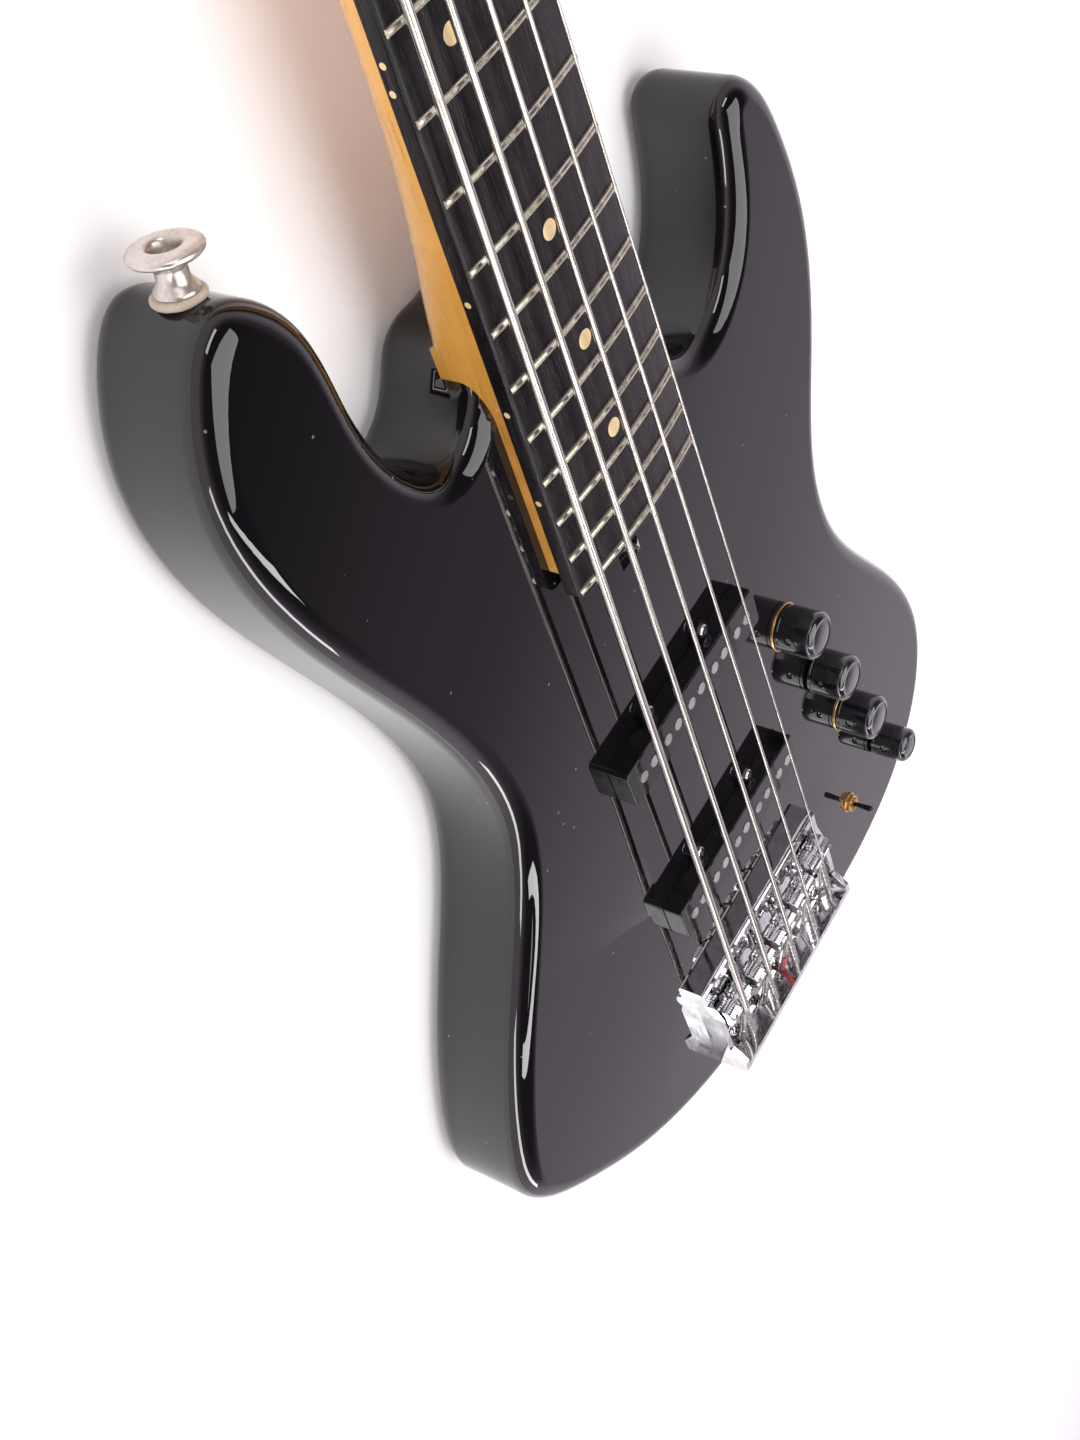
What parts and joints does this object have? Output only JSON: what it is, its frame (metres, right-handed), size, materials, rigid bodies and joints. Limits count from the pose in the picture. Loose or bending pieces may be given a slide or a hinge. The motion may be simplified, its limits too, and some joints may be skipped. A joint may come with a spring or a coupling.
{
  "type": "electric bass guitar",
  "caption": "Solid-body electric bass guitar with a bolted maple neck, dark fretted fingerboard, single-coil pickups, barrel-saddle bridge and worm-gear tuners.",
  "frame": {"origin": "centre line of the neck under the saddle line, on the plane of the body's flat back", "axes": "+Y along the neck to the headstock, +X to the thinnest string's side, +Z out of the face, so the bass lies on its back"},
  "size_m": [0.3456, 1.1594, 0.0625],
  "materials": {
    "black_lacquer": "deep gloss black polyester lacquer over wood",
    "maple": "amber tinted gloss maple",
    "dark_board": "near-black oiled hardwood, satin",
    "fret_wire": "polished nickel silver, slightly tarnished",
    "cream_dot": "cream inlay",
    "bone": "polished bone",
    "steel": "plated steel",
    "chrome": "bright chrome plate",
    "string_steel": "nickel-plated round-wound steel",
    "black_plastic": "moulded black, semi-gloss",
    "matte_black_plastic": "textured black sheet",
    "coil_wire": "enamelled copper winding on black bobbin",
    "foam": "open-cell foam",
    "brass": "darkened brass",
    "battery_case": "plain printed steel case",
    "circuit_board": "green lacquered board",
    "satin_nickel": "satin nickel",
    "cream_felt": "wool felt",
    "black_knob": "polished black"
  },
  "bodies": {
    "root": {"body": "black_lacquer", "neck": "maple", "fingerboard": "dark_board", "frets": "fret_wire", "position_dots": "cream_dot", "nut": "bone", "truss_rod": "steel", "neck_plate": "chrome", "neck_screws": "chrome", "strings": "string_steel", "bridge_base": "chrome", "bridge_screws": "chrome", "intonation_springs": "steel", "neck_pickup_cover": "black_plastic", "bridge_pickup_cover": "black_plastic", "pickup_poles": "steel", "pickup_coils": "coil_wire", "pickup_foam": "foam", "pickup_screws": "chrome", "pots": "steel", "toggle_switch": "brass", "cavity_cover": "matte_black_plastic", "cover_screws": "steel", "battery": "battery_case", "preamp_board": "circuit_board", "output_jack": "chrome", "strap_buttons": "satin_nickel", "strap_felts": "cream_felt", "strap_screws": "steel", "tuner_plates": "chrome", "tuner_bushings": "chrome", "tuner_screws": "chrome", "string_retainer": "chrome"},
    "volume_knob": {"volume_knob": "black_knob"},
    "blend_knob": {"blend_knob": "black_knob"},
    "treble_knob": {"treble_knob": "black_knob"},
    "bass_knob": {"bass_knob": "black_knob"},
    "toggle_lever": {"toggle_lever": "black_plastic"},
    "intonation_screw_b": {"intonation_screw_b": "steel"},
    "saddle_b": {"saddle_b": "chrome"},
    "intonation_screw_e": {"intonation_screw_e": "steel"},
    "saddle_e": {"saddle_e": "chrome"},
    "intonation_screw_a": {"intonation_screw_a": "steel"},
    "saddle_a": {"saddle_a": "chrome"},
    "intonation_screw_d": {"intonation_screw_d": "steel"},
    "saddle_d": {"saddle_d": "chrome"},
    "intonation_screw_g": {"intonation_screw_g": "steel"},
    "saddle_g": {"saddle_g": "chrome"},
    "tuner_key_b": {"tuner_key_b": "chrome"},
    "tuner_post_b": {"tuner_post_b": "chrome"},
    "tuner_key_e": {"tuner_key_e": "chrome"},
    "tuner_post_e": {"tuner_post_e": "chrome"},
    "tuner_key_a": {"tuner_key_a": "chrome"},
    "tuner_post_a": {"tuner_post_a": "chrome"},
    "tuner_key_d": {"tuner_key_d": "chrome"},
    "tuner_post_d": {"tuner_post_d": "chrome"},
    "tuner_key_g": {"tuner_key_g": "chrome"},
    "tuner_post_g": {"tuner_post_g": "chrome"},
    "truss_nut": {"truss_nut": "steel"}
  },
  "joints": [
    {"name": "volume_turn", "type": "hinge", "parent": "root", "child": "volume_knob", "pos_m": [0.073, 0.115, 0.052], "axis": [0, 0, 1], "range_deg": [-140, 140]},
    {"name": "blend_turn", "type": "hinge", "parent": "root", "child": "blend_knob", "pos_m": [0.0872, 0.0713, 0.052], "axis": [0, 0, 1], "range_deg": [-140, 140]},
    {"name": "treble_turn", "type": "hinge", "parent": "root", "child": "treble_knob", "pos_m": [0.1008, 0.0275, 0.052], "axis": [0, 0, 1], "range_deg": [-140, 140]},
    {"name": "bass_turn", "type": "hinge", "parent": "root", "child": "bass_knob", "pos_m": [0.121, -0.018, 0.052], "axis": [0, 0, 1], "range_deg": [-140, 140]},
    {"name": "toggle_throw", "type": "hinge", "parent": "root", "child": "toggle_lever", "pos_m": [0.087, -0.0275, 0.045], "axis": [1, 0, 0], "range_deg": [-12, 12]},
    {"name": "intonation_b", "type": "hinge", "parent": "root", "child": "intonation_screw_b", "pos_m": [-0.035, -0.046, 0.05358], "axis": [0, -1, 0], "range_deg": [-2160, 2160]},
    {"name": "saddle_slide_b", "type": "slide", "parent": "root", "child": "saddle_b", "axis": [0, -1, 0], "range_m": [-0.00299, 0.00299], "deforming": ["intonation_springs", "strings"]},
    {"name": "intonation_e", "type": "hinge", "parent": "root", "child": "intonation_screw_e", "pos_m": [-0.0155, -0.046, 0.05529], "axis": [0, -1, 0], "range_deg": [-2160, 2160]},
    {"name": "saddle_slide_e", "type": "slide", "parent": "root", "child": "saddle_e", "axis": [0, -1, 0], "range_m": [-0.00299, 0.00299], "deforming": ["intonation_springs", "strings"]},
    {"name": "intonation_a", "type": "hinge", "parent": "root", "child": "intonation_screw_a", "pos_m": [0.004, -0.046, 0.05586], "axis": [0, -1, 0], "range_deg": [-2160, 2160]},
    {"name": "saddle_slide_a", "type": "slide", "parent": "root", "child": "saddle_a", "axis": [0, -1, 0], "range_m": [-0.00299, 0.00299], "deforming": ["intonation_springs", "strings"]},
    {"name": "intonation_d", "type": "hinge", "parent": "root", "child": "intonation_screw_d", "pos_m": [0.0235, -0.046, 0.05529], "axis": [0, -1, 0], "range_deg": [-2160, 2160]},
    {"name": "saddle_slide_d", "type": "slide", "parent": "root", "child": "saddle_d", "axis": [0, -1, 0], "range_m": [-0.00299, 0.00299], "deforming": ["intonation_springs", "strings"]},
    {"name": "intonation_g", "type": "hinge", "parent": "root", "child": "intonation_screw_g", "pos_m": [0.043, -0.046, 0.05358], "axis": [0, -1, 0], "range_deg": [-2160, 2160]},
    {"name": "saddle_slide_g", "type": "slide", "parent": "root", "child": "saddle_g", "axis": [0, -1, 0], "range_m": [-0.00299, 0.00299], "deforming": ["intonation_springs", "strings"]},
    {"name": "tuner_turn_b", "type": "hinge", "parent": "root", "child": "tuner_key_b", "pos_m": [-0.02122, 0.91761, 0.0222], "axis": [-0.9723, 0.2337, 0], "continuous": true},
    {"name": "post_turn_b", "type": "hinge", "parent": "root", "child": "tuner_post_b", "pos_m": [-0.02363, 0.9076, 0.042], "axis": [0, 0, 1], "continuous": true},
    {"name": "tuner_turn_e", "type": "hinge", "parent": "root", "child": "tuner_key_e", "pos_m": [-0.01204, 0.95061, 0.0222], "axis": [-0.9723, 0.2337, 0], "continuous": true},
    {"name": "post_turn_e", "type": "hinge", "parent": "root", "child": "tuner_post_e", "pos_m": [-0.01445, 0.9406, 0.042], "axis": [0, 0, 1], "continuous": true},
    {"name": "tuner_turn_a", "type": "hinge", "parent": "root", "child": "tuner_key_a", "pos_m": [-0.00372, 0.98362, 0.0222], "axis": [-0.9723, 0.2337, 0], "continuous": true},
    {"name": "post_turn_a", "type": "hinge", "parent": "root", "child": "tuner_post_a", "pos_m": [-0.00613, 0.9736, 0.042], "axis": [0, 0, 1], "continuous": true},
    {"name": "tuner_turn_d", "type": "hinge", "parent": "root", "child": "tuner_key_d", "pos_m": [0.00379, 1.01662, 0.0222], "axis": [-0.9723, 0.2337, 0], "continuous": true},
    {"name": "post_turn_d", "type": "hinge", "parent": "root", "child": "tuner_post_d", "pos_m": [0.00139, 1.0066, 0.042], "axis": [0, 0, 1], "continuous": true},
    {"name": "tuner_turn_g", "type": "hinge", "parent": "root", "child": "tuner_key_g", "pos_m": [0.01051, 1.04961, 0.0222], "axis": [-0.9723, 0.2337, 0], "continuous": true},
    {"name": "post_turn_g", "type": "hinge", "parent": "root", "child": "tuner_post_g", "pos_m": [0.0081, 1.0396, 0.042], "axis": [0, 0, 1], "continuous": true},
    {"name": "truss_nut_turn", "type": "hinge", "parent": "root", "child": "truss_nut", "pos_m": [0, 0.255, 0.0415], "axis": [0, 1, 0], "range_deg": [-360, 360]}
  ],
  "couplings": [
    {"joint": "intonation_b", "follows": "saddle_slide_b", "rad_per_m": 12566},
    {"joint": "intonation_e", "follows": "saddle_slide_e", "rad_per_m": 12566},
    {"joint": "intonation_a", "follows": "saddle_slide_a", "rad_per_m": 12566},
    {"joint": "intonation_d", "follows": "saddle_slide_d", "rad_per_m": 12566},
    {"joint": "intonation_g", "follows": "saddle_slide_g", "rad_per_m": 12566},
    {"joint": "post_turn_b", "follows": "tuner_turn_b", "ratio": -0.05},
    {"joint": "post_turn_e", "follows": "tuner_turn_e", "ratio": -0.05},
    {"joint": "post_turn_a", "follows": "tuner_turn_a", "ratio": -0.05},
    {"joint": "post_turn_d", "follows": "tuner_turn_d", "ratio": -0.05},
    {"joint": "post_turn_g", "follows": "tuner_turn_g", "ratio": -0.05}
  ]
}
